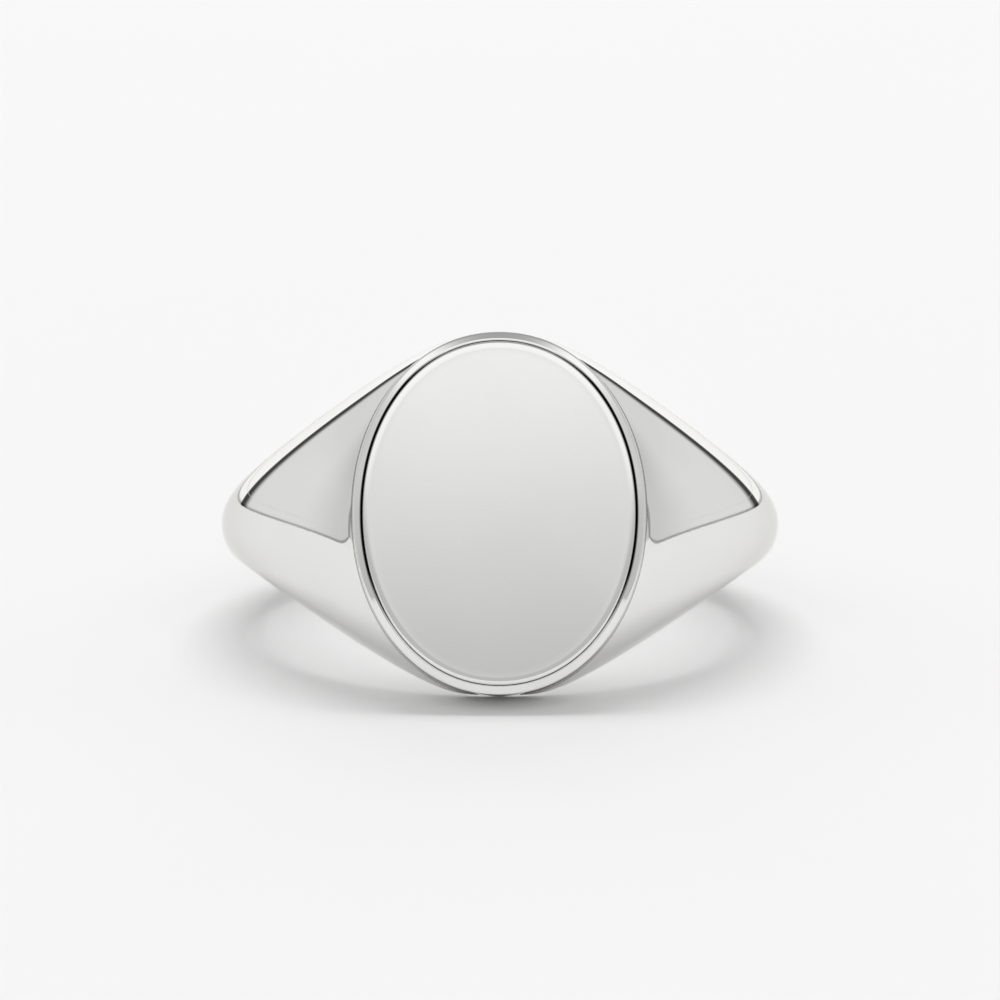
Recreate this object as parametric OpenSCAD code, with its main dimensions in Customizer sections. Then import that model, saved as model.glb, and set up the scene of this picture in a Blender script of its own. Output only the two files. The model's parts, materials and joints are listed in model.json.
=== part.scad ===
// Oval signet ring, resting on the lower edge of its head and the back of its shank.
// The ring is first built about its finger bore: the bore runs along Y, the face
// plate looks along +Z and the shank closes the loop on the -Z side. It is then
// leaned back about X into its resting pose on the ground plane, face to -Y.

/* [Finger bore] */
// Radius of the finger bore
bore_r = 8.6; // [7.8:0.1:10]

/* [Band] */
// Wall thickness of the band at its two sides
side_thickness = 1.75; // [1.4:0.05:2.2]
// Wall thickness at the back of the shank
back_thickness = 1.5; // [1.2:0.05:2]
// Half of the band's width at its two sides
side_half_width = 1.62; // [1.3:0.02:2]
// Half of the band's width at the back of the shank
back_half_width = 1.15; // [1:0.05:1.5]

/* [Shoulders] */
// How much higher than the band's side a shoulder stands where it meets the head
shoulder_rise = 1.55; // [1.1:0.05:1.8]
// How much wider than the head the flare of the two shoulders would become under it
shoulder_overlap = 0.2; // [0.1:0.02:0.22]
// Fullness of the crown across the band, where 2 is an ellipse and less is more peaked
crown_fullness = 1.65; // [1.4:0.05:2.4]

/* [Head] */
// Height of the face plate's top above the finger bore
head_height = 2.6; // [2.5:0.05:3.2]
// Half of the face plate's short axis
face_half_short = 4.9; // [4.6:0.05:5.1]
// Half of the face plate's long axis
face_half_long = 6.16; // [6:0.02:6.4]
// Fullness of the ovals, where 2 is an ellipse
oval_fullness = 2.07; // [2:0.01:2.2]
// Thickness of the face plate
plate_thickness = 0.9; // [0.7:0.05:1.1]
// Radius of the soft edge around the face plate
plate_edge_r = 0.3; // [0.15:0.05:0.4]
// Width that the collar shows around the face plate
collar_width = 0.34; // [0.28:0.01:0.42]
// Drop from the face to the top of the collar's lip
lip_drop = 0.12; // [0.05:0.01:0.2]
// Height of the bevel between the collar's lip and its wall
bevel_height = 0.11; // [0.06:0.01:0.2]

/* [Solder] */
// Thickness of every soldered seam
seam = 0.06; // [0.04:0.01:0.1]

/* [Hidden] */

silver = [0.83, 0.83, 0.82];
solder_tone = [0.70, 0.69, 0.66];

// Band geometry by angle from the face direction
head_angle = 27;           // angle at which a shoulder meets the side of the head
tip_dip = 0.24;            // how far the flare dips into the head over its middle
tip_angle = 8;             // angle over which that dip fades
edge_land = 0.5;           // height of the flat side wall below the rounded crown
edge_break = 0.12;         // bevel between the side wall and the bore
bore_overrun = 0.5;        // how far raw sections reach inside the bore before it is cut
rise_softness = 0.285;     // how gradually the shoulders start to rise
flare_softness = 0.4;      // how rounded the flare is under the head
cap_drop = 0.25;           // how far under the face the shoulders level off beside the head
cap_softness = 0.52;       // roundness of that levelling
section_steps = 18;        // points over one rounded crown
angle_step = 3;            // angle between two sections of the band
big = 40;                  // larger than the ring, for cutting boxes

// Head geometry, as half widths across the short axis
face_height = bore_r + head_height;            // above the centre of the bore
crown_cap = face_height - cap_drop;
long_extra = face_half_long - face_half_short; // how much longer every oval is than wide, halved
oval_points = 72;
wall_half = face_half_short + collar_width;    // collar under its bevel
foot_half = wall_half + 0.07;                  // collar at its foot, drafted outwards
lip_half = wall_half - 0.2;                    // outer edge of the lip's top
pocket_half = face_half_short + 0.02;          // room for the plate
mouth_half = pocket_half + 0.06;               // bevelled inner edge of the lip
ledge_half = wall_half - 0.72;                 // inside of the collar under the plate
core_half = ledge_half - seam;
shoulder_half_width = wall_half + long_extra + shoulder_overlap;
lip_z = face_height - lip_drop;
mouth_z = lip_z - 0.06;
bevel_z = lip_z - bevel_height;
plate_z = face_height - plate_thickness;
core_z = plate_z - seam;
foot_z = 5;                                    // foot of the raw oval, inside the bore

// Resting pose: the head's finger-side edge and the rounded edge of the shank's back
// both touch the ground. The shank's reach depends on the lean, so it is found in two steps.
draft = (foot_half - wall_half) / (bevel_z - foot_z);
contact_half = wall_half + draft * (bevel_z - bore_r) + long_extra;
back_crown = back_thickness - edge_land;
function lean_for(reach) = atan2(contact_half - reach, 2 * bore_r + edge_land);
function shank_reach(angle) = norm([back_half_width, back_crown * tan(angle)]);
lean = lean_for(shank_reach(lean_for(shank_reach(lean_for(back_half_width)))));
ground_z = bore_r * sin(lean) - contact_half * cos(lean);
front_y = -face_half_long * sin(lean) - (face_height - plate_edge_r) * cos(lean)
    - plate_edge_r * (1 - sin(lean));
back_y = (bore_r + back_thickness) * cos(lean);

// 0 at t = 0 and 1 at t = 1, starting flat and ending straight
function ease(t, softness) =
    (sqrt(t * t + softness * softness) - softness)
    / (sqrt(1 + softness * softness) - softness);

// The smaller of two radii, with the corner between them rounded
function soft_min(p, q, softness) = (p + q - sqrt((p - q) * (p - q) + softness * softness)) / 2;

// 0 at the band's sides and 1 at the back
function toward_back(a) = (1 + cos(2 * a)) / 2;

// 0 at the band's sides and 1 where a shoulder meets the head
function toward_head(a) = max(0, (90 - a) / (90 - head_angle));

// Outer radius of the band at angle a from the face
function shoulder_r(a) = bore_r + side_thickness
    + shoulder_rise * ease(toward_head(a), rise_softness);
function shank_r(a) = bore_r + side_thickness
    - (side_thickness - back_thickness) * toward_back(a);
function outer_r(a) = a > 90
    ? shank_r(a)
    : soft_min(shoulder_r(a), crown_cap / max(cos(a), 0.02), cap_softness);

// Half width of the band at angle a from the face
function half_width(a) = a > 90
    ? side_half_width - (side_half_width - back_half_width) * toward_back(a)
    : shoulder_half_width
        - (shoulder_half_width - side_half_width) * ease(sin(a), flare_softness)
        - tip_dip * exp(-(a / tip_angle) * (a / tip_angle));

function power(x, e) = sign(x) * pow(abs(x), e);

// One section of the band as [width, radius] points: bevel, side wall, crown, and back
function crown_point(a, t) = [
    half_width(a) * cos(t),
    bore_r + edge_land + (outer_r(a) - bore_r - edge_land) * power(sin(t), 2 / crown_fullness),
];
function section(a) = concat(
    [[half_width(a) - edge_break - bore_overrun, bore_r - bore_overrun]],
    [[half_width(a), bore_r + edge_break]],
    [for (i = [0:section_steps]) crown_point(a, 180 * i / section_steps)],
    [[-half_width(a), bore_r + edge_break]],
    [[-half_width(a) + edge_break + bore_overrun, bore_r - bore_overrun]]
);

// The same section set in space, on the +X side
function placed(a) = [for (p = section(a)) [p[1] * sin(a), p[0], p[1] * cos(a)]];

// A solid through a list of loops that all have the same number of points, each
// running anticlockwise as seen from the loop after it
module skin(loops) {
    count = len(loops[0]);
    points = [for (loop = loops) each loop];
    sides = [
        for (j = [0:len(loops) - 2])
        for (i = [0:count - 1])
        for (half = [0, 1])
        let (k = (i + 1) % count)
        half == 0
            ? [j * count + i, (j + 1) * count + i, (j + 1) * count + k]
            : [j * count + i, (j + 1) * count + k, j * count + k]
    ];
    first_cap = [for (i = [0:count - 1]) i];
    last_cap = [for (i = [0:count - 1]) len(loops) * count - 1 - i];
    polyhedron(points, concat([first_cap], sides, [last_cap]));
}

// The raw band between two angles, on the +X side, before its bore is cut
module band(from, to) {
    steps = (to - from) / angle_step;
    skin([for (i = [0:steps]) placed(from + angle_step * i)]);
}

module finger_bore() {
    rotate([90, 0, 0]) cylinder(r = bore_r, h = big, center = true, $fn = 96);
}

// One oval loop at height z, given by its half width across the short axis
function oval(half) = [
    for (i = [0:oval_points - 1])
    let (t = 360 * i / oval_points)
    [
        half * power(cos(t), 2 / oval_fullness),
        (half + long_extra) * power(sin(t), 2 / oval_fullness),
    ]
];
function raised(half, z) = [for (p = oval(half)) [p[0], p[1], z]];

// Straight oval post
module oval_post(half, z0, z1) {
    translate([0, 0, z0]) linear_extrude(z1 - z0) polygon(oval(half));
}

// The collar's outer oval up to its bevel, grown sideways
module collar_outside(grow) {
    skin([raised(foot_half + grow, foot_z), raised(wall_half + grow, bevel_z)]);
}

// From the bore's own axes to the resting pose
module rest() {
    translate([0, -(front_y + back_y) / 2, -ground_z]) rotate([90 - lean, 0, 0]) children();
}

module mirrored(side) {
    mirror([side < 0 ? 1 : 0, 0, 0]) children();
}

// Oval table with a soft edge
module face_plate() {
    edge_steps = 6;
    color(silver) rest()
        skin(concat(
            [raised(face_half_short, plate_z)],
            [for (i = [0:edge_steps]) let (t = 90 * i / edge_steps) raised(
                face_half_short + plate_edge_r * (cos(t) - 1),
                face_height + plate_edge_r * (sin(t) - 1)
            )]
        ));
}

// Film under the plate that joins it to the core and to the collar's ledge
module plate_solder() {
    color(solder_tone) rest() oval_post(face_half_short, core_z, plate_z);
}

// Oval wall with a bevelled lip, open above for the plate and below for the core
module bezel_collar() {
    color(silver) rest()
        difference() {
            skin([
                raised(foot_half, foot_z),
                raised(wall_half, bevel_z),
                raised(lip_half, lip_z),
            ]);
            skin([
                raised(pocket_half, core_z),
                raised(pocket_half, mouth_z),
                raised(2 * mouth_half - pocket_half, 2 * lip_z - mouth_z),
            ]);
            oval_post(ledge_half, foot_z - 1, core_z + 0.1);
            finger_bore();
        }
}

// Solid backing between the plate and the finger
module head_core() {
    color(silver) rest()
        difference() {
            oval_post(core_half, foot_z, core_z);
            finger_bore();
        }
}

// Film between the core and the collar
module core_solder() {
    color(solder_tone) rest()
        difference() {
            oval_post(ledge_half, foot_z, core_z);
            oval_post(core_half, foot_z - 1, core_z + 1);
            finger_bore();
        }
}

// Flared arm from the side of the head to the shank
module shoulder(side) {
    color(silver) rest() mirrored(side)
        difference() {
            band(0, 90);
            finger_bore();
            collar_outside(seam);
            oval_post(wall_half + seam, bevel_z, big);
        }
}

// Film between a shoulder and the collar's wall
module shoulder_solder(side) {
    color(solder_tone) rest() mirrored(side)
        difference() {
            intersection() {
                band(0, 60);
                collar_outside(seam);
            }
            finger_bore();
            collar_outside(0);
        }
}

// Back half of the band
module shank() {
    color(silver) rest()
        difference() {
            band(90, 270);
            finger_bore();
            translate([-big / 2, -big / 2, -seam]) cube(big);
        }
}

// Film across the band at the end of the shank
module shank_solder(side) {
    color(solder_tone) rest() mirrored(side)
        difference() {
            band(90, 180);
            finger_bore();
            translate([-big / 2, -big / 2, -seam - big]) cube(big);
        }
}

module shoulder_left() { shoulder(-1); }
module shoulder_right() { shoulder(1); }
module shoulder_solder_left() { shoulder_solder(-1); }
module shoulder_solder_right() { shoulder_solder(1); }
module shank_solder_left() { shank_solder(-1); }
module shank_solder_right() { shank_solder(1); }

face_plate();
plate_solder();
bezel_collar();
head_core();
core_solder();
shoulder_left();
shoulder_right();
shoulder_solder_left();
shoulder_solder_right();
shank();
shank_solder_left();
shank_solder_right();
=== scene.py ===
"""Oval signet ring: polished metal surfaces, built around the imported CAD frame."""
import json
import math

import bmesh
import bpy
import numpy as np
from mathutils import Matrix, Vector


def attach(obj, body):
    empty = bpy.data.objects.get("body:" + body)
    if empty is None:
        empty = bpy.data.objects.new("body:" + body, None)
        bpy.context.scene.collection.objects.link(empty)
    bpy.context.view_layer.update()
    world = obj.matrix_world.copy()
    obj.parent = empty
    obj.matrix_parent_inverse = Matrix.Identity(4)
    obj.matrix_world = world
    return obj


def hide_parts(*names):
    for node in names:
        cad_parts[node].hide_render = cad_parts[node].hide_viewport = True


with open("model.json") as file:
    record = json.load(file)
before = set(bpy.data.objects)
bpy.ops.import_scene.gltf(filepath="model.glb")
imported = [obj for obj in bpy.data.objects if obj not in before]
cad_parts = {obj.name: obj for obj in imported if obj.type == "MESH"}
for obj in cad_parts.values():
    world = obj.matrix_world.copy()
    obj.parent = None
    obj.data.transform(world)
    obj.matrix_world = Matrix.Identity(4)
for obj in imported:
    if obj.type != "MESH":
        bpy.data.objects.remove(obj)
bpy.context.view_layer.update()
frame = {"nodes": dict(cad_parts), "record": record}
MM = 0.001

# --- The ring's own axes: x to its side, y along the finger bore, z out of the face ---
MOUNTS = {mount["name"]: mount for mount in frame["record"]["mounts"]}
CENTRE = np.array(MOUNTS["finger_bore"]["pos_m"])
AXIS = np.array(MOUNTS["finger_bore"]["axis"])
FACING = np.array(MOUNTS["seal_face"]["axis"])
SIDE = np.cross(AXIS, FACING)
AXES = np.stack([SIDE, AXIS, FACING])


def to_world(points):
    """Ring coordinates in mm to world coordinates in metres."""
    return CENTRE + np.asarray(points, dtype=float) @ AXES * MM


def extent(node):
    """Largest x, y and z of a CAD node in ring coordinates, in mm."""
    mesh = frame["nodes"][node].data
    flat = np.empty(len(mesh.vertices) * 3)
    mesh.vertices.foreach_get("co", flat)
    world = np.array([frame["nodes"][node].matrix_world @ Vector(v) for v in flat.reshape(-1, 3)])
    return ((world - CENTRE) @ AXES.T / MM).max(axis=0)


# --- Sizes in mm, taken from the CAD nodes and repeated from part.scad where they are formulas ---
BORE_R = MOUNTS["finger_bore"]["dims"]["r_mm"]
FACE_HALF, FACE_LONG, FACE_Z = extent("face_plate")
LIP_Z = extent("bezel_collar")[2]
LONG_EXTRA = FACE_LONG - FACE_HALF
PLATE_Z = extent("plate_solder")[2]
CORE_HALF, _, CORE_Z = extent("head_core")
SEAM = PLATE_Z - CORE_Z
LEDGE_HALF = CORE_HALF + SEAM

OVAL_FULLNESS = 2.07
COLLAR_WIDTH = 0.34
WALL_HALF = FACE_HALF + COLLAR_WIDTH
BEVEL_Z = LIP_Z - 0.11     # where the collar's wall meets its bevelled lip
FOOT_Z = 5.0               # where the drafted wall would be as wide as its foot
FOOT_HALF = WALL_HALF + 0.07

SIDE_THICKNESS, BACK_THICKNESS = 1.75, 1.5
SIDE_HALF_WIDTH, BACK_HALF_WIDTH = 1.62, 1.15
SHOULDER_RISE = 1.55
SHOULDER_HALF_WIDTH = WALL_HALF + LONG_EXTRA + 0.2
CROWN_FULLNESS = 1.65
HEAD_ANGLE = 27
TIP_DIP, TIP_ANGLE = 0.24, 8
EDGE_LAND = 0.5
RISE_SOFTNESS, FLARE_SOFTNESS = 0.285, 0.4
CROWN_CAP, CAP_SOFTNESS = FACE_Z - 0.25, 0.52
BORE_ROUND = 0.16          # rounding between the band's side wall and the bore
SOLDER_SINK = 0.02         # how far the shoulder solder lies below the crown

AROUND = 216               # points around the head's ovals
ACROSS = 112               # steps across the band's crown
ALONG = 150                # steps along a shoulder


# --- Band sections, by angle in degrees from the face direction ---
def ease(t, softness):
    return (np.sqrt(t * t + softness * softness) - softness) / (
        math.sqrt(1 + softness * softness) - softness)


def soft_min(p, q, softness):
    return (p + q - np.sqrt((p - q) ** 2 + softness * softness)) / 2


def toward_back(a):
    return (1 + np.cos(np.radians(2 * a))) / 2


def toward_head(a):
    return np.maximum(0, (90 - a) / (90 - HEAD_ANGLE))


def outer_r(a):
    shoulder = BORE_R + SIDE_THICKNESS + SHOULDER_RISE * ease(toward_head(a), RISE_SOFTNESS)
    level = CROWN_CAP / np.maximum(np.cos(np.radians(a)), 0.02)
    shank = BORE_R + SIDE_THICKNESS - (SIDE_THICKNESS - BACK_THICKNESS) * toward_back(a)
    return np.where(a > 90, shank, soft_min(shoulder, level, CAP_SOFTNESS))


def half_width(a):
    spread = ease(np.sin(np.radians(a)), FLARE_SOFTNESS)
    shoulder = (SHOULDER_HALF_WIDTH - (SHOULDER_HALF_WIDTH - SIDE_HALF_WIDTH) * spread
                - TIP_DIP * np.exp(-(a / TIP_ANGLE) ** 2))
    shank = SIDE_HALF_WIDTH - (SIDE_HALF_WIDTH - BACK_HALF_WIDTH) * toward_back(a)
    return np.where(a > 90, shank, shoulder)


def around_bore(a, width, radius):
    """A point of the band in ring coordinates, on the +x side for angles up to 180."""
    turn = np.radians(a)
    return np.stack([radius * np.sin(turn), width, radius * np.cos(turn)], axis=-1)


def crown_point(a, psi, sink):
    """Point on the rounded outside; psi runs over the crown from 0 to 180 degrees."""
    across = np.cos(np.radians(psi))
    height = np.maximum(0, 1 - across ** 2) ** (1 / CROWN_FULLNESS)
    rise = outer_r(a) - BORE_R - EDGE_LAND - sink
    return around_bore(a, half_width(a) * across, BORE_R + EDGE_LAND + rise * height)


def bore_point(a, psi):
    across = np.cos(np.radians(psi))
    return around_bore(a, (half_width(a) - BORE_ROUND) * across, BORE_R + 0 * a)


def corner_point(a, bend, sign):
    """Point on the rounding between a side wall, at bend 0, and the bore, at bend 90."""
    turn = np.radians(bend)
    width = sign * (half_width(a) - BORE_ROUND * (1 - np.cos(turn)))
    return around_bore(a, width, BORE_R + BORE_ROUND * (1 - np.sin(turn)))


CORNER_BENDS = [0, 18, 36, 54, 72]


def band_lines(sink):
    """One function of the angle for each point of a section, in order round the section."""
    turns = np.linspace(0, 180, ACROSS + 1)
    lines = [lambda a, t=t: crown_point(a, t, sink) for t in turns]
    lines += [lambda a, b=b: corner_point(a, b, -1) for b in CORNER_BENDS]
    lines += [lambda a, t=t: bore_point(a, t) for t in turns[::-1]]
    lines += [lambda a, b=b: corner_point(a, b, 1) for b in CORNER_BENDS[::-1]]
    return lines


LINES = band_lines(0)
SUNK_LINES = band_lines(SOLDER_SINK)


def outside_wall(point, grow):
    """Positive where a point lies outside the collar's drafted oval wall."""
    x, y, z = point
    level = (z - FOOT_Z) / (BEVEL_Z - FOOT_Z)
    half = FOOT_HALF + (WALL_HALF - FOOT_HALF) * level + grow
    return (abs(x / half) ** OVAL_FULLNESS
            + abs(y / (half + LONG_EXTRA)) ** OVAL_FULLNESS - 1)


def at_wall(grow):
    """For each line of the band, the angle at which it comes out of the head."""
    angles = []
    for line in LINES:
        low, high = 0.0, 60.0
        for _ in range(40):
            middle = (low + high) / 2
            if outside_wall(line(middle), grow) < 0:
                low = middle
            else:
                high = middle
        angles.append((low + high) / 2)
    return np.array(angles)


def at_level(drop):
    """For each line of the band, the angle at which it is this far below the bore's centre."""
    radii = np.array([np.hypot(*line(90.0)[[0, 2]]) for line in LINES])
    return 90 + np.degrees(np.arcsin(drop / radii))


# --- Meshes ---
def make_mesh(name, points, faces, crease=38):
    """A closed mesh object in world metres, smooth apart from edges sharper than crease."""
    mesh = bpy.data.meshes.new(name)
    mesh.from_pydata(to_world(points).tolist(), [], faces)
    work = bmesh.new()
    work.from_mesh(mesh)
    bmesh.ops.recalc_face_normals(work, faces=work.faces)
    work.to_mesh(mesh)
    work.free()
    mesh.shade_smooth()
    mesh.set_sharp_from_angle(angle=math.radians(crease))
    obj = bpy.data.objects.new(name, mesh)
    bpy.context.scene.collection.objects.link(obj)
    return obj


def finish_piece(obj, node, material):
    obj.data.materials.append(material)
    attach(obj, "root")
    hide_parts(node)
    return obj


def ring_faces(rows, count, wrap_rows):
    """Quads over rows of closed loops; the last row joins the first if wrap_rows is set."""
    faces = []
    for j in range(rows if wrap_rows else rows - 1):
        below, above = j * count, (j + 1) % rows * count
        faces += [(below + i, below + (i + 1) % count, above + (i + 1) % count, above + i)
                  for i in range(count)]
    return faces


def section_cap(first):
    """Strips that close a band section between its crown and its bore line."""
    last_bore = ACROSS + 1 + len(CORNER_BENDS)
    faces = []
    for i in range(ACROSS):
        back = last_bore + ACROSS - i
        faces.append((first + i, first + i + 1, first + back - 1, first + back))
    low_corner = [ACROSS, *range(ACROSS + 1, last_bore + 1)]
    high_corner = [last_bore + ACROSS, *range(last_bore + ACROSS + 1, len(LINES)), 0]
    faces.append(tuple(first + i for i in low_corner))
    faces.append(tuple(first + i for i in high_corner))
    return faces


def arm(name, start, end, steps, side, lines=LINES):
    """A stretch of the band between two sets of angles, as one closed solid."""
    rows = []
    for s in np.linspace(0, 1, steps + 1):
        angles = start + (end - start) * s
        rows.append(np.array([line(a) for line, a in zip(lines, angles)]))
    points = np.concatenate(rows) * [side, 1, 1]
    faces = ring_faces(len(rows), len(LINES), False)
    faces += section_cap(0) + section_cap((len(rows) - 1) * len(LINES))
    return make_mesh(name, points, faces)


def power(value, exponent):
    return np.sign(value) * np.abs(value) ** exponent


def oval_loop(half, height, scale=1.0):
    """Points of an oval given by its half width; height None puts them on the bore."""
    turn = np.linspace(0, 2 * math.pi, AROUND, endpoint=False)
    x = scale * half * power(np.cos(turn), 2 / OVAL_FULLNESS)
    y = scale * (half + LONG_EXTRA) * power(np.sin(turn), 2 / OVAL_FULLNESS)
    z = np.sqrt(BORE_R ** 2 - x ** 2) if height is None else np.full(AROUND, height)
    return np.stack([x, y, z], axis=-1)


def disc(name, bottom, profile, top):
    """A solid turned round the oval between a centre point below and one above."""
    loops = [oval_loop(*step) for step in profile]
    points = np.concatenate([[[0, 0, bottom]], *loops, [[0, 0, top]]])
    last = len(points) - 1
    faces = [tuple(i + 1 for i in face) for face in ring_faces(len(loops), AROUND, False)]
    faces += [(0, 1 + (i + 1) % AROUND, 1 + i) for i in range(AROUND)]
    rim = last - AROUND
    faces += [(last, rim + i, rim + (i + 1) % AROUND) for i in range(AROUND)]
    return make_mesh(name, points, faces)


def hoop(name, profile):
    """A solid ring whose closed profile is carried round the oval."""
    loops = [oval_loop(*step) for step in profile]
    return make_mesh(name, np.concatenate(loops), ring_faces(len(loops), AROUND, True))


def straight(start, end, steps):
    """Evenly spaced (half, height) steps from start up to, but not with, end."""
    return [tuple(a + (b - a) * k / steps for a, b in zip(start, end)) for k in range(steps)]


def rounded(start, corner, end, steps):
    """A smooth corner from start round to, but not with, end."""
    return [tuple((1 - k) ** 2 * a + 2 * k * (1 - k) * c + k * k * b
                  for a, c, b in zip(start, corner, end))
            for k in np.linspace(0, 1, steps, endpoint=False)]


# --- Materials ---
def shader(name):
    material = bpy.data.materials.new(name)
    material.use_nodes = True
    tree = material.node_tree
    return material, tree, tree.nodes["Principled BSDF"]


def noise(tree, coordinates, scale, detail):
    node = tree.nodes.new("ShaderNodeTexNoise")
    node.inputs["Scale"].default_value = scale
    node.inputs["Detail"].default_value = detail
    tree.links.new(coordinates, node.inputs["Vector"])
    return node.outputs["Fac"]


def spread(tree, value, low, high):
    """Stretches the middle of a noise's range over low to high."""
    node = tree.nodes.new("ShaderNodeMapRange")
    node.inputs["From Min"].default_value = 0.35
    node.inputs["From Max"].default_value = 0.65
    node.inputs["To Min"].default_value = low
    node.inputs["To Max"].default_value = high
    tree.links.new(value, node.inputs["Value"])
    return node.outputs["Result"]


def blend(tree, factor, first, second):
    """Mix of two colours, each a tuple or the output of another node."""
    node = tree.nodes.new("ShaderNodeMix")
    node.data_type = "RGBA"
    tree.links.new(factor, node.inputs["Factor"])
    for socket, colour in ((node.inputs["A"], first), (node.inputs["B"], second)):
        if isinstance(colour, tuple):
            socket.default_value = (*colour, 1)
        else:
            tree.links.new(colour, socket)
    return node.outputs["Result"]


EDGE_SHADE_TINT = (0.86, 0.855, 0.84)        # painted shade: how much the metal's reflections are darkened where it turns away
# near-black colour of the groove between plate and lip: tarnish plus painted shade
TARNISH_AND_SHADE = (0.012, 0.012, 0.013)
TARNISH_AND_SHADE_ROUGHNESS = 0.35
MARK_DEPTH = 0.000002                  # of the polishing marks, in metres


def polished(name, bright, dull, smooth, rough, marks):
    """Polished metal: faint tone drift, uneven gloss, fine marks, and dark patina with painted shade
    in grooves.
    """
    material, tree, bsdf = shader(name)
    bsdf.inputs["Metallic"].default_value = 1
    # painted shade: this tint darkens the grazing reflections along edges that turn away
    bsdf.inputs["Specular Tint"].default_value = (*EDGE_SHADE_TINT, 1)
    place = tree.nodes.new("ShaderNodeTexCoord").outputs["Object"]
    tone = spread(tree, noise(tree, place, 260, 3), 0, 1)
    gloss = spread(tree, noise(tree, place, 900, 4), smooth, rough)
    # a stored mask darkens the groove between plate and lip, partly tarnish, partly painted shade
    tarnish_and_shade = tree.nodes.new("ShaderNodeAttribute")
    tarnish_and_shade.attribute_name = "tarnish_and_shade"
    metal = blend(tree, tone, bright, dull)
    tree.links.new(blend(tree, tarnish_and_shade.outputs["Fac"], metal, TARNISH_AND_SHADE), bsdf.inputs["Base Color"])
    uneven = tree.nodes.new("ShaderNodeMath")
    uneven.operation = "MULTIPLY_ADD"
    uneven.inputs[1].default_value = TARNISH_AND_SHADE_ROUGHNESS
    tree.links.new(tarnish_and_shade.outputs["Fac"], uneven.inputs[0])
    tree.links.new(gloss, uneven.inputs[2])
    tree.links.new(uneven.outputs["Value"], bsdf.inputs["Roughness"])
    stretch = tree.nodes.new("ShaderNodeMapping")
    stretch.inputs["Scale"].default_value = (1, 1, 6)
    tree.links.new(place, stretch.inputs["Vector"])
    bump = tree.nodes.new("ShaderNodeBump")
    bump.inputs["Strength"].default_value = marks
    bump.inputs["Distance"].default_value = MARK_DEPTH
    tree.links.new(noise(tree, stretch.outputs["Vector"], 5200, 2), bump.inputs["Height"])
    tree.links.new(bump.outputs["Normal"], bsdf.inputs["Normal"])
    return material


SILVER = polished("silver_polish", (0.848, 0.846, 0.84), (0.828, 0.826, 0.819), 0.03, 0.055, 0.1)
SOLDER = polished("solder_polish", (0.66, 0.65, 0.63), (0.58, 0.57, 0.55), 0.14, 0.24, 0.3)


def add_tarnish_and_shade(obj, strength):
    """Stores how dark each point of a mesh is, as patina and painted shade; strength takes ring
    coordinates in mm.
    """
    mesh = obj.data
    flat = np.empty(len(mesh.vertices) * 3)
    mesh.vertices.foreach_get("co", flat)
    local = (flat.reshape(-1, 3) - CENTRE) @ AXES.T / MM
    layer = mesh.attributes.new("tarnish_and_shade", "FLOAT", "POINT")
    layer.data.foreach_set("value", np.clip(strength(local), 0, 1).astype(np.float32))


# --- Head ---
ROLL_WIDTH, ROLL_DROP = 0.30, 0.02      # soft roll-off round the face
EDGE_R = 0.10                           # tight rounding outside it
CROWN = 0.045                           # height of the face's slight crown
GROOVE_REACH = 0.0125                   # half the dark groove's width, as a share of the face


def face_profile():
    """Edge and crowned top of the face plate, from its underside up to the middle."""
    shelf = FACE_Z - CROWN - ROLL_DROP
    steps = straight((FACE_HALF, PLATE_Z), (FACE_HALF, shelf - EDGE_R), 3)
    for bend in np.linspace(0, math.radians(72), 11):
        steps.append((FACE_HALF - EDGE_R * (1 - math.cos(bend)),
                      shelf - EDGE_R * (1 - math.sin(bend))))
    edge_half, edge_z = steps[-1]
    inner = FACE_HALF - ROLL_WIDTH
    for k in np.linspace(0, 1, 19)[1:]:
        steps.append((edge_half + (inner - edge_half) * k,
                      FACE_Z - CROWN - (FACE_Z - CROWN - edge_z) * (1 - k) ** 2.6))
    steps += [(inner, FACE_Z - CROWN * k * k, k) for k in np.linspace(1, 0, 31)[1:-1]]
    return steps


def collar_profile():
    """Inside of the lip, its bevelled top, the drafted wall, the bore and the ledge."""
    pocket, mouth = FACE_HALF + 0.004, FACE_HALF + 0.06
    wall_at_bore = FOOT_HALF + (WALL_HALF - FOOT_HALF) * (BORE_R - FOOT_Z) / (BEVEL_Z - FOOT_Z)
    lip_corner = (WALL_HALF, BEVEL_Z - 0.005)
    bevel_end, wall_top = (WALL_HALF - 0.04, BEVEL_Z + 0.015), (WALL_HALF, BEVEL_Z - 0.05)
    steps = straight((pocket, CORE_Z), (pocket, LIP_Z - 0.10), 4)
    steps += rounded((pocket, LIP_Z - 0.10), (pocket + 0.01, LIP_Z), (mouth, LIP_Z - 0.004), 6)
    steps += straight((mouth, LIP_Z - 0.004), bevel_end, 5)
    steps += rounded(bevel_end, lip_corner, wall_top, 7)
    steps += straight(wall_top, (wall_at_bore - 0.01, BORE_R + 0.3), 6)
    steps += [(wall_at_bore - 0.01, BORE_R + 0.3), (wall_at_bore, None),
              (wall_at_bore - 0.2, None), (LEDGE_HALF + 0.1, None), (LEDGE_HALF, None),
              (LEDGE_HALF, CORE_Z)]
    return steps


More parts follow.
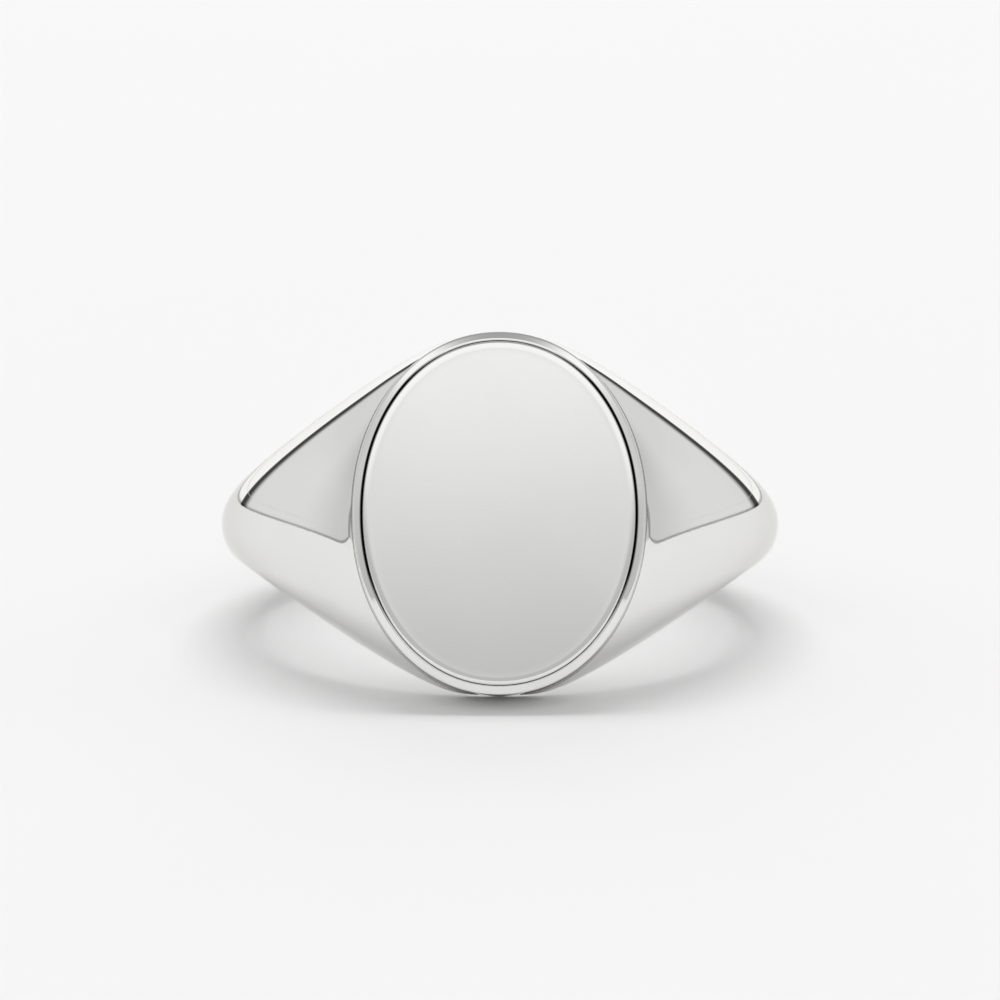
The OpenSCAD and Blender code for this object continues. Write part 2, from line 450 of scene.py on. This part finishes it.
def groove_tarnish_and_shade(local):
    """How dark a point is in the gap between the plate and the lip, from 0 to 1, as tarnish and
    painted shade.

    The painted shade makes the groove black at the sides; it fades towards both ends, sooner at the
    foot.
    """
    x, y, z = local.T
    reach = (np.abs(x / FACE_HALF) ** OVAL_FULLNESS
             + np.abs(y / FACE_LONG) ** OVAL_FULLNESS) ** (1 / OVAL_FULLNESS)
    near = (np.abs(reach - 1.003) < GROOVE_REACH) & (z > PLATE_Z)
    depth = np.clip((LIP_Z + 0.045 - z) / 0.03, 0, 1)
    aside, upward = np.abs(x) / FACE_HALF, y / FACE_LONG
    # painted shade: the groove darkens towards the sides
    side_shade = np.clip((aside - (0.62 - 0.25 * upward)) / 0.25, 0, 1)
    return near * depth * (0.05 + 0.95 * side_shade)


plate = disc("ring_face_plate", PLATE_Z, face_profile(), FACE_Z)
collar = hoop("ring_bezel_collar", collar_profile())
# the groove's tarnish and painted shade go on the plate and the collar
for piece in (plate, collar):
    add_tarnish_and_shade(piece, groove_tarnish_and_shade)
finish_piece(plate, "face_plate", SILVER)
finish_piece(collar, "bezel_collar", SILVER)

core_rings = [(CORE_HALF, None, k) for k in np.linspace(0, 1, 20)[1:]]
core = disc("ring_head_core", BORE_R,
            core_rings + [(CORE_HALF, CORE_Z), (CORE_HALF, CORE_Z, 0.5)], CORE_Z)
finish_piece(core, "head_core", SILVER)

core_film = hoop("ring_core_solder", [(CORE_HALF, None), (LEDGE_HALF, None),
                                      (LEDGE_HALF, CORE_Z), (CORE_HALF, CORE_Z)])
finish_piece(core_film, "core_solder", SOLDER)

plate_film = disc("ring_plate_solder", CORE_Z, [
    (FACE_HALF, CORE_Z, 0.5), (FACE_HALF, CORE_Z), (FACE_HALF, PLATE_Z), (FACE_HALF, PLATE_Z, 0.5),
], PLATE_Z)
finish_piece(plate_film, "plate_solder", SOLDER)

# --- Shoulders and shank ---
WALL, WALL_FILM = at_wall(0), at_wall(SEAM)
BAND_SIDE, BAND_FILM = at_level(0), at_level(SEAM)
for word, side in (("left", -1), ("right", 1)):
    shoulder = arm("ring_shoulder_" + word, WALL_FILM, BAND_SIDE, ALONG, side)
    finish_piece(shoulder, "shoulder_" + word, SILVER)
    film = arm("ring_shoulder_solder_" + word, WALL, WALL_FILM, 2, side, SUNK_LINES)
    finish_piece(film, "shoulder_solder_" + word, SOLDER)
    film = arm("ring_shank_solder_" + word, BAND_SIDE, BAND_FILM, 2, side)
    finish_piece(film, "shank_solder_" + word, SOLDER)
shank = arm("ring_shank", BAND_FILM, 360 - BAND_FILM, 2 * ALONG, 1)
finish_piece(shank, "shank", SILVER)


# --- Camera ---
VIEW_DISTANCE = 0.275      # from the bore's centre
VIEW_BELOW_FACE = 2.25     # degrees that the view lies below the face's normal
VIEW_ASIDE = 0.17          # degrees that the view lies to the ring's +x side
VIEW_WIDTH = 0.03724       # width of the frame at the bore's centre
AIM_RAISE = 0.00093        # how far above the bore's centre the camera aims

drop = math.radians(VIEW_BELOW_FACE)
view_line = math.cos(drop) * FACING - math.sin(drop) * AXIS + math.radians(VIEW_ASIDE) * SIDE
view_up = math.cos(drop) * AXIS + math.sin(drop) * FACING
camera_data = bpy.data.cameras.new("camera")
camera_data.sensor_width = 36
camera_data.lens = camera_data.sensor_width * VIEW_DISTANCE / VIEW_WIDTH
camera_data.clip_start = 0.01
camera_data.clip_end = 20
camera = bpy.data.objects.new("camera", camera_data)
camera.location = Vector(CENTRE + VIEW_DISTANCE * view_line)
aim = Vector(CENTRE + AIM_RAISE * view_up)
camera.rotation_euler = (aim - camera.location).to_track_quat("-Z", "Y").to_euler()
bpy.context.scene.collection.objects.link(camera)
bpy.context.scene.camera = camera
bpy.context.scene.view_settings.view_transform = "Standard"

# --- Floor ---
FLOOR_R = 3.0
floor_mesh = bpy.data.meshes.new("floor")
floor_edge = [(FLOOR_R * math.cos(t), FLOOR_R * math.sin(t), 0)
              for t in np.linspace(0, 2 * math.pi, 96, endpoint=False)]
floor_mesh.from_pydata(floor_edge, [], [tuple(range(96))])
floor = bpy.data.objects.new("floor", floor_mesh)
bpy.context.scene.collection.objects.link(floor)
paper, tree, bsdf = shader("floor_card")
place = tree.nodes.new("ShaderNodeTexCoord").outputs["Object"]
tree.links.new(blend(tree, noise(tree, place, 40, 2), (0.872, 0.872, 0.872), (0.88, 0.879, 0.877)),
               bsdf.inputs["Base Color"])
bsdf.inputs["Roughness"].default_value = 1
bsdf.inputs["Specular IOR Level"].default_value = 0
floor_mesh.materials.append(paper)


# --- Studio: a pale tent with a bright panel behind and a narrow dark gap between the two ---
class Tones:
    """Builds brightness out of small steps in a shader tree."""

    def __init__(self, tree):
        self.tree = tree

    def feed(self, socket, value):
        if isinstance(value, (int, float)):
            socket.default_value = value
        else:
            self.tree.links.new(value, socket)

    def math(self, operation, *values):
        node = self.tree.nodes.new("ShaderNodeMath")
        node.operation = operation
        for socket, value in zip(node.inputs, values):
            self.feed(socket, value)
        return node.outputs[0]

    def step(self, value, low, high, start=0.0, end=1.0):
        """Smooth change from start to end as value goes from low to high."""
        node = self.tree.nodes.new("ShaderNodeMapRange")
        node.interpolation_type = "SMOOTHSTEP"
        for socket, number in zip(node.inputs, (value, low, high, start, end)):
            self.feed(socket, number)
        return node.outputs[0]

    def mix(self, factor, first, second):
        node = self.tree.nodes.new("ShaderNodeMix")
        self.feed(node.inputs["Factor"], factor)
        self.feed(node.inputs["A"], first)
        self.feed(node.inputs["B"], second)
        return node.outputs[0]

    def parts(self, vector):
        node = self.tree.nodes.new("ShaderNodeSeparateXYZ")
        self.tree.links.new(vector, node.inputs[0])
        return node.outputs

    def degrees(self, radians):
        return self.math("MULTIPLY", radians, 180 / math.pi)

    def seen_from(self, point):
        """Direction from a point of the scene to the shaded point."""
        place = self.tree.nodes.new("ShaderNodeTexCoord").outputs["Object"]
        away = self.tree.nodes.new("ShaderNodeVectorMath")
        away.operation = "SUBTRACT"
        away.inputs[1].default_value = point
        self.tree.links.new(place, away.inputs[0])
        unit = self.tree.nodes.new("ShaderNodeVectorMath")
        unit.operation = "NORMALIZE"
        self.tree.links.new(away.outputs[0], unit.inputs[0])
        return unit.outputs[0]


FRONT_SIDE = 44            # degrees from the camera's side at which the sides begin
HEM_SWING = 59             # and at which the cloth there has a dark hem
FRONT_LOW, FRONT_HIGH, FRONT_TOP = 0.57, 1.06, 1.10
CLOTH_NEAR, CLOTH_FAR, HEM_SHADE = 0.67, 0.84, 0.5
ROOF_TONE, PANEL_TONE, GAP_SHADE = 0.42, 1.15, 0.07
FLOOR_TONE = 0.90          # of the floor, as the ring reflects it


def swing_of(tones, dx, dy):
    """Degrees from the camera's side, the same to the left and to the right."""
    return tones.degrees(tones.math(
        "ARCTAN2", tones.math("ABSOLUTE", dx), tones.math("MULTIPLY", dy, -1)))


def studio_tone(tones, dx, dy, dz):
    """Brightness of the studio along a direction.

    A front that brightens upwards, cloth at both sides, a grey roof, and a bright panel
    behind, whose arched front edge has a dark gap along it.
    """
    rise = tones.degrees(tones.math("ARCSINE", dz))
    swing = swing_of(tones, dx, dy)
    front = tones.mix(tones.step(rise, 14, 24), FRONT_LOW, FRONT_HIGH)
    front = tones.mix(tones.step(rise, 22, 34), front, FRONT_TOP)
    cloth = tones.step(swing, HEM_SWING + 6, HEM_SWING + 40, CLOTH_NEAR, CLOTH_FAR)
    cloth = tones.math("MULTIPLY", cloth, tones.step(rise, 15, 35, 1.0, 0.93))
    hem = tones.math("ABSOLUTE", tones.math("SUBTRACT", swing, HEM_SWING))
    cloth = tones.math("MULTIPLY", cloth, tones.step(hem, 0.5, 1.6, HEM_SHADE, 1.0))
    low = tones.mix(tones.step(swing, FRONT_SIDE - 3, FRONT_SIDE + 3), front, cloth)
    tent = tones.mix(tones.step(rise, 50, 63), low, ROOF_TONE)
    edge = tones.math("SUBTRACT", dy, tones.math(
        "SUBTRACT", 0.79, tones.math("MULTIPLY", 0.46, tones.math("MULTIPLY", dz, dz))))
    room = tones.mix(tones.step(edge, -0.01, 0.01), tent, PANEL_TONE)
    gap = tones.step(edge, -0.10, -0.02, 1.0, GAP_SHADE)
    gap = tones.math("MAXIMUM", gap, tones.step(edge, 0.015, 0.03))
    return tones.math("MULTIPLY", room, gap)


world = bpy.data.worlds.new("studio")
bpy.context.scene.world = world
world.use_nodes = True
background = world.node_tree.nodes["Background"]
sky = Tones(world.node_tree)
direction = sky.tree.nodes.new("ShaderNodeTexCoord").outputs["Generated"]
sky.feed(background.inputs["Color"], studio_tone(sky, *sky.parts(direction)))
background.inputs["Strength"].default_value = 1

# low cards beside the ring carry the cloth down to the floor, seen only in its reflections
CARD_R, CARD_HEIGHT, CARD_FOOT = 0.072, 0.006, 0.0014
CARD_START = 54                            # degrees round from the camera's side
SHOULDER_SPOT = (0.006, -0.008, 0.004)     # where the shoulders reflect the cards
HEM_TURN, HEM_LIFT = 14, 0.0055            # how the cloth's lower edge curves up to its hem
for side in (-1, 1):
    turns = np.radians(np.linspace(CARD_START, 180, 60))
    ring = [(side * CARD_R * math.sin(t), -CARD_R * math.cos(t)) for t in turns]
    points = [(x, y, z) for z in (0, CARD_HEIGHT) for x, y in ring]
    count = len(ring)
    card_mesh = bpy.data.meshes.new("side_card")
    card_mesh.from_pydata(points, [], [(i, i + 1, count + i + 1, count + i) for i in range(count - 1)])
    card = bpy.data.objects.new("side_card", card_mesh)
    bpy.context.scene.collection.objects.link(card)
    glow, tree, bsdf = shader("side_card_cloth")
    bsdf.inputs["Base Color"].default_value = (0, 0, 0, 1)
    bsdf.inputs["Specular IOR Level"].default_value = 0
    tones = Tones(tree)
    spot = (side * SHOULDER_SPOT[0], *SHOULDER_SPOT[1:])
    dx, dy, dz = tones.parts(tones.seen_from(spot))
    level = tones.parts(tree.nodes.new("ShaderNodeTexCoord").outputs["Object"])[2]
    bend = tones.math("SUBTRACT", 1, tones.math(
        "DIVIDE", tones.math("SUBTRACT", swing_of(tones, dx, dy), HEM_SWING), HEM_TURN))
    bend = tones.math("POWER", tones.math("MAXIMUM", bend, 0), 2.5)
    level = tones.math("SUBTRACT", level, tones.math("MULTIPLY", bend, HEM_LIFT))
    foot = tones.step(level, CARD_FOOT * 0.6, CARD_FOOT * 1.4, 0.5, 1.0)
    tone = tones.math("MULTIPLY", studio_tone(tones, dx, dy, dz), foot)
    tone = tones.mix(tones.step(level, -0.0003, 0), FLOOR_TONE, tone)
    bsdf.inputs["Emission Color"].default_value = (1, 1, 1, 1)
    tones.feed(bsdf.inputs["Emission Strength"], tone)
    card_mesh.materials.append(glow)
    card.visible_camera = card.visible_diffuse = card.visible_shadow = False

# a wide soft lamp above and a little behind the ring, kept out of its reflections
LAMP_WIDTH, LAMP_DEPTH, LAMP_HEIGHT, LAMP_BEHIND = 1.3, 0.5, 1.6, 0.38
LAMP_POWER = 10.8
lamp_data = bpy.data.lights.new("overhead", "AREA")
lamp_data.shape = "RECTANGLE"
lamp_data.size, lamp_data.size_y = LAMP_WIDTH, LAMP_DEPTH
lamp_data.energy = LAMP_POWER
lamp = bpy.data.objects.new("overhead", lamp_data)
lamp.location = (0, LAMP_BEHIND, LAMP_HEIGHT)
lamp.rotation_euler = (-math.atan2(LAMP_BEHIND, LAMP_HEIGHT), 0, 0)
lamp.visible_glossy = False
lamp.visible_camera = False
bpy.context.scene.collection.objects.link(lamp)
